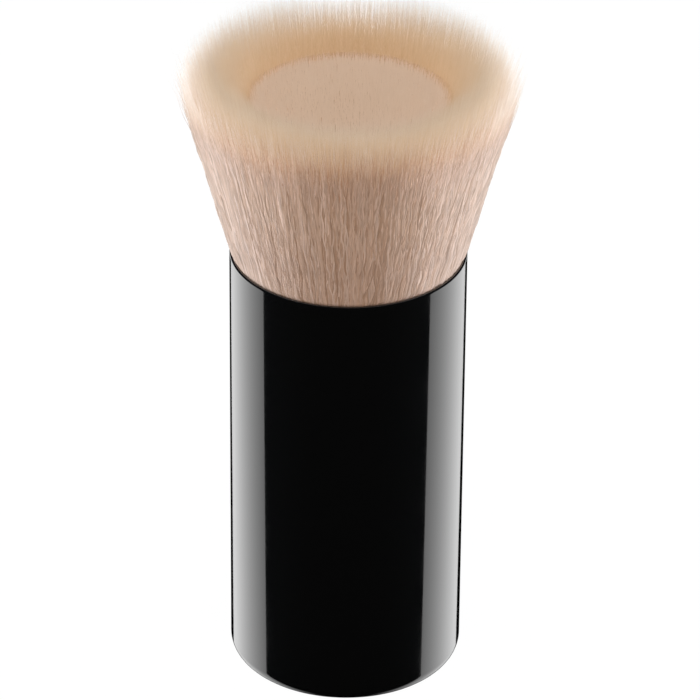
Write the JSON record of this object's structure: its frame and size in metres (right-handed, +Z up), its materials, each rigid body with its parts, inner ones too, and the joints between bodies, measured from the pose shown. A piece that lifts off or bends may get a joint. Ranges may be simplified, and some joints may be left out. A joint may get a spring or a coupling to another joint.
{
  "type": "makeup brush",
  "caption": "Flat-topped makeup brush with a shallow powder dish in its head, dense soft fibres and a straight gloss black handle that it stands on.",
  "frame": {"origin": "middle of the handle's flat foot", "axes": "+Z up along the handle, from the foot to the fibre head; +Y away from the viewer of the picture, +X to the right"},
  "size_m": [0.0458, 0.0458, 0.0906],
  "materials": {
    "black_lacquer": "gloss black lacquer",
    "adhesive_tape": "matte foam tape",
    "moulded_plastic": "moulded, matte",
    "zinc_steel": "zinc plated, satin",
    "aluminium": "drawn, bright",
    "epoxy": "cured resin, glossy",
    "binding_thread": "wound thread, matte",
    "long_fibre": "fine synthetic fibre, soft sheen, cream tips",
    "middle_fibre": "fine synthetic fibre, cut level"
  },
  "bodies": {
    "root": {"barrel": "black_lacquer", "base_pad": "adhesive_tape", "handle_core": "moulded_plastic", "weight_slug": "zinc_steel", "ferrule": "aluminium", "root_potting": "epoxy", "tie_band": "binding_thread", "long_bundle_1": "long_fibre", "long_bundle_2": "long_fibre", "long_bundle_3": "long_fibre", "long_bundle_4": "long_fibre", "long_bundle_5": "long_fibre", "long_bundle_6": "long_fibre", "long_bundle_7": "long_fibre", "long_bundle_8": "long_fibre", "middle_tuft": "middle_fibre"}
  },
  "joints": []
}
